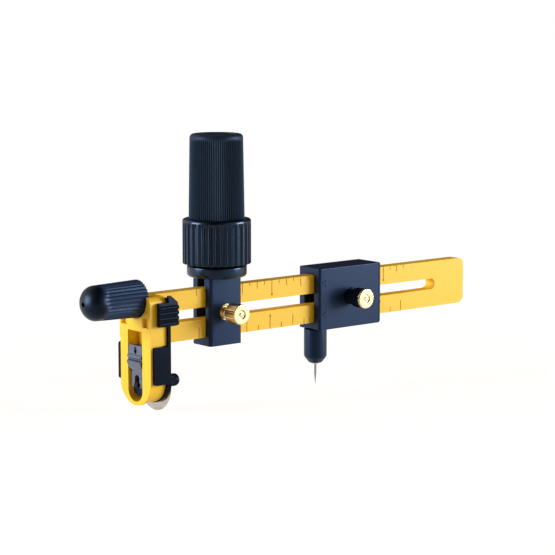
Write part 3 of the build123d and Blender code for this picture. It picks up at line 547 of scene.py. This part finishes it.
def make_pin():
    low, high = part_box("blade_pin")
    middle = centre_of("blade_pin").z
    hub, shaft, neck, stud = 2.45 * MM, 1.1 * MM, 0.75 * MM, 1.0 * MM
    face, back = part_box("blade")[0].x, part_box("blade")[1].x + 0.05 * MM
    neck_start = low.x + 0.45 * MM
    neck_end = neck_start + 0.7 * MM
    flange, flange_end = 3.5 * MM, back + 1.2 * MM
    profile = rounded([
        (low.x, 0, 0),
        (low.x, shaft, 0.3 * MM),
        (neck_start, shaft, 0.1 * MM),
        (neck_start, neck, 0),
        (neck_end, neck, 0),
        (neck_end, shaft, 0.1 * MM),
        (face, shaft, 0),
        (face, hub, 0.05 * MM),
        (back, hub, 0),
        (back, flange, 0.2 * MM),
        (flange_end, flange, 0.25 * MM),
        (flange_end, stud, 0),
        (high.x, stud, 0.15 * MM),
        (high.x, 0, 0),
    ], 5)
    piece = turned("pin_with_flange", profile, (0, 0, middle), OUT, 96)
    finish(piece, blackened_steel, "pin", "blackened_steel", "blade_pin")


def make_knob():
    low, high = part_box("pin_knob")
    middle = centre_of("pin_knob").z
    radius, bore, bore_end = (high.z - low.z) / 2, 1.0 * MM, low.x + 5.0 * MM
    groove_count, groove_depth = 18, 0.16 * MM
    profile = split_runs(rounded([
        (bore_end, 0, 0),
        (bore_end, bore, 0),
        (low.x, bore, 0.1 * MM),
        (low.x, radius, 0.2 * MM),
        (high.x, radius, 1.6 * MM),
        (high.x, 0, 0),
    ], 9), 0.3 * MM)

    def grooves(along, reach, angle):
        """Grooves along the knob, which run out under its domed end."""
        outside = reach > radius - 0.4 * MM
        before_dome = 1 - fade(along, high.x - 2.2 * MM, high.x - 1.6 * MM)
        return groove_depth * waves(angle, groove_count, 1.5) * outside * before_dome

    piece = turned("grooved_knob", profile, (0, 0, middle), OUT, 12 * groove_count, grooves)
    finish(piece, deep_abs, "pin", "black_abs", "pin_knob")


make_blade()
make_pin()
make_knob()


# Needle and its chuck
def make_chuck():
    low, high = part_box("needle_chuck")
    radius = (high.x - low.x) / 2
    cone_top, nose = low.z + 2.2 * MM, 2.2 * MM
    spigot, bore, mouth = 2.7 * MM, 1.6 * MM, 1.15 * MM
    step = 12.88 * MM
    profile = rounded([
        (high.z, spigot, 0.1 * MM),
        (high.z, radius, 0.3 * MM),
        (cone_top, radius, 0.6 * MM),
        (low.z, nose, 0.25 * MM),
        (low.z, mouth, 0.1 * MM),
        (cone_top, bore, 0),
        (step, bore, 0),
        (step, spigot, 0),
    ], 7)
    piece = turned("chuck_sleeve", profile, (0, 0, 0), UP, 128)
    finish(piece, black_abs, "chuck", "black_abs", "needle_chuck")


def make_needle():
    low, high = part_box("needle")
    radius = (high.x - low.x) / 2
    point, taper = 0.06 * MM, 4.0 * MM
    profile = rounded([
        (low.z, 0, 0),
        (low.z, point, 0),
        (low.z + taper, radius, 0.6 * MM),
        (high.z, radius, 0),
        (high.z, 0, 0),
    ], 7)
    piece = turned("ground_needle", profile, (0, 0, 0), UP, 48)
    finish(piece, steel, "pivot", "steel", "needle")


make_chuck()
make_needle()


# Mouldings with straight sides: copies of the model with rounded edges. Places here are in mm.
shoe_places = [centre_of(node) / MM for node in ("handle_shoe", "pivot_shoe")]


def everywhere(x, y, z):
    return 1.0


def head_edges(x, y, z):
    """The head's upper front corners are well rounded, and its other edges are only broken."""
    front, shoulder, side = -75.9, 23.0, 8.0
    return 1.0 if x < front and z > shoulder and abs(y) > side else 0.3


def block_edges(x, y, z):
    """The two blocks are rounded outside. The engraved arrows and the pockets of the two shoes stay crisp."""
    face, left, right, low, high = -5.2, -2.6, 1.0, 22.0, 38.5
    arrow = y < face and left < x < right and low < z < high
    pocket_front, pocket_radius = -4.0, 4.6
    away = min(hypot(x - place.x, z - place.z) for place in shoe_places)
    pocket = y > pocket_front and away < pocket_radius
    return 0.12 if arrow or pocket else 1.0


for name, node, material, body, slot, width, share_at in (
    ("arch_head", "blade_head", yellow_abs, "arm", "yellow_abs", 0.8, head_edges),
    ("carrier_block", "pin_carrier", black_abs, "arm", "black_abs", 0.1, everywhere),
    ("sliding_latch", "pin_latch", spring_steel, "latch", "spring_steel", 0.08, everywhere),
    ("guard_plate", "blade_guard", deep_abs, "guard", "black_abs", 0.2, everywhere),
    ("handle_block_moulding", "handle_block", block_abs, "handle_carriage", "black_abs", 0.35, block_edges),
    ("pivot_block_moulding", "pivot_block", block_abs, "pivot", "black_abs", 0.4, block_edges),
):
    finish(softened(name, node, width * MM, share_at), material, body, slot, node)


# Nodes that are shown as they are
shown_slot = {part["node"]: part["material_slot"] for part in frame["record"]["subparts"]}
for node, piece in frame["nodes"].items():
    material = shade_marked_abs if node == "ruler_arm" else finishes[shown_slot[node]]
    piece.data.materials.clear()
    piece.data.materials.append(material)


# Floor, light and camera
WALL_LINE = (0.631, -0.762, -0.143)   # from the white wall behind to the one in front, on the right


def ray_kinds(material):
    """One for rays from the camera, and one for rays from a gloss or a clear part."""
    path = add(material, "ShaderNodeLightPath")
    gloss = add(material, "ShaderNodeMath", operation="MAXIMUM",
                inputs={0: path.outputs["Is Glossy Ray"], 1: path.outputs["Is Transmission Ray"]})
    return path.outputs["Is Camera Ray"], gloss.outputs[0]


def two_walls(material, direction):
    """How much a direction sees of the two white walls: the square of its share along the line between
    them, so the ceiling and the other two sides of the room stay dark."""
    unit = add(material, "ShaderNodeVectorMath", {0: direction}, operation="NORMALIZE")
    along = add(material, "ShaderNodeVectorMath", {0: unit.outputs[0], 1: WALL_LINE}, operation="DOT_PRODUCT")
    return add(material, "ShaderNodeMath", {0: along.outputs["Value"], 1: along.outputs["Value"]},
               operation="MULTIPLY").outputs[0]


def make_floor():
    """White paper. Near the object the eye sees a glow that comes to white with the lit paper under it, and a
    shadow takes that down a little. Further off the glow alone is white. A gloss sees the two walls in it."""
    half, share, near_glow = 6.0, 0.75, 1.2
    shadow_reach, plain_reach = 0.12, 0.30
    mesh = bpy.data.meshes.new("floor")
    corners = [(-half, -half, 0), (half, -half, 0), (half, half, 0), (-half, half, 0)]
    mesh.from_pydata(corners, [], [(0, 1, 2, 3)])
    floor = bpy.data.objects.new("floor", mesh)
    bpy.context.scene.collection.objects.link(floor)
    material = bpy.data.materials.new("white_paper")
    material.use_nodes = True
    material.node_tree.nodes.clear()
    eye, gloss = ray_kinds(material)
    place = add(material, "ShaderNodeTexCoord").outputs["Object"]
    walls = two_walls(material, place)
    away = add(material, "ShaderNodeVectorMath", {0: place}, operation="LENGTH")
    reach = {"Value": away.outputs["Value"], "From Min": shadow_reach, "From Max": plain_reach, "To Max": 1.0}
    glow_share = add(material, "ShaderNodeMapRange", {**reach, "To Min": share}).outputs["Result"]
    strength = add(material, "ShaderNodeMapRange", {**reach, "To Min": near_glow}).outputs["Result"]
    reflected = add(material, "ShaderNodeMath", {0: gloss, 1: walls}, operation="MULTIPLY")
    seen = add(material, "ShaderNodeMath", {0: eye, 1: reflected.outputs[0]}, operation="MAXIMUM")
    lift = add(material, "ShaderNodeMath", {0: seen.outputs[0], 1: glow_share}, operation="MULTIPLY")
    paper = add(material, "ShaderNodeBsdfDiffuse", {"Color": srgb("F2F2F2")})
    glow = add(material, "ShaderNodeEmission", {"Color": srgb("FFFFFF"), "Strength": strength})
    layers = {0: lift.outputs[0], 1: paper.outputs[0], 2: glow.outputs[0]}
    mixed = add(material, "ShaderNodeMixShader", layers)
    add(material, "ShaderNodeOutputMaterial", {"Surface": mixed.outputs[0]})
    mesh.materials.append(material)


def make_world():
    """A white backdrop to the eye. A gloss sees the two white walls, and they fill the shade with a soft,
    warm light."""
    fill = 0.95
    world = bpy.data.worlds.new("studio")
    world.use_nodes = True
    bpy.context.scene.world = world
    world.node_tree.nodes.clear()
    eye, gloss = ray_kinds(world)
    walls = two_walls(world, add(world, "ShaderNodeTexCoord").outputs["Generated"])
    kind = add(world, "ShaderNodeMath", {0: gloss, 1: 1 - fill, 2: fill}, operation="MULTIPLY_ADD")
    lit = add(world, "ShaderNodeMath", {0: walls, 1: kind.outputs[0]}, operation="MULTIPLY")
    strength = add(world, "ShaderNodeMath", {0: lit.outputs[0], 1: eye}, operation="MAXIMUM")
    direct = add(world, "ShaderNodeMath", {0: gloss, 1: eye}, operation="MAXIMUM")
    tones = {"Factor": direct.outputs[0], "A": srgb("FFC878"), "B": srgb("FFFFFF")}
    tone = add(world, "ShaderNodeMix", tones, data_type="RGBA").outputs["Result"]
    sky = add(world, "ShaderNodeBackground", {"Color": tone, "Strength": strength.outputs[0]})
    add(world, "ShaderNodeOutputWorld", {"Surface": sky.outputs[0]})


def make_lamp(name, place, aim, size, power):
    light = bpy.data.lights.new(name, "AREA")
    light.size = size
    light.energy = power
    lamp = bpy.data.objects.new(name, light)
    lamp.location = place
    lamp.rotation_euler = (Vector(aim) - Vector(place)).to_track_quat("-Z", "Y").to_euler()
    bpy.context.scene.collection.objects.link(lamp)


def make_camera():
    view = bpy.data.cameras.new("camera")
    view.sensor_width = 36.0
    view.lens = 128.4
    camera = bpy.data.objects.new("camera", view)
    azimuth, elevation, distance = radians(-39.63), radians(8.23), 668.74 * MM
    target = Vector((-16.94 * MM, 0, 38.56 * MM))
    back = Vector((sin(azimuth) * cos(elevation), -cos(azimuth) * cos(elevation), sin(elevation)))
    camera.location = target + distance * back
    camera.rotation_euler = Euler((pi / 2 - elevation, 0, azimuth))
    bpy.context.scene.collection.objects.link(camera)
    bpy.context.scene.camera = camera


make_floor()
make_world()
aim = (-0.02, 0, 0.04)
make_lamp("left_lamp", (-0.85, 0.35, 0.22), aim, 0.5, 8.0)
make_lamp("front_lamp", (0.70, -0.65, 0.22), aim, 0.5, 9.5)
make_camera()
bpy.context.scene.view_settings.view_transform = "Standard"
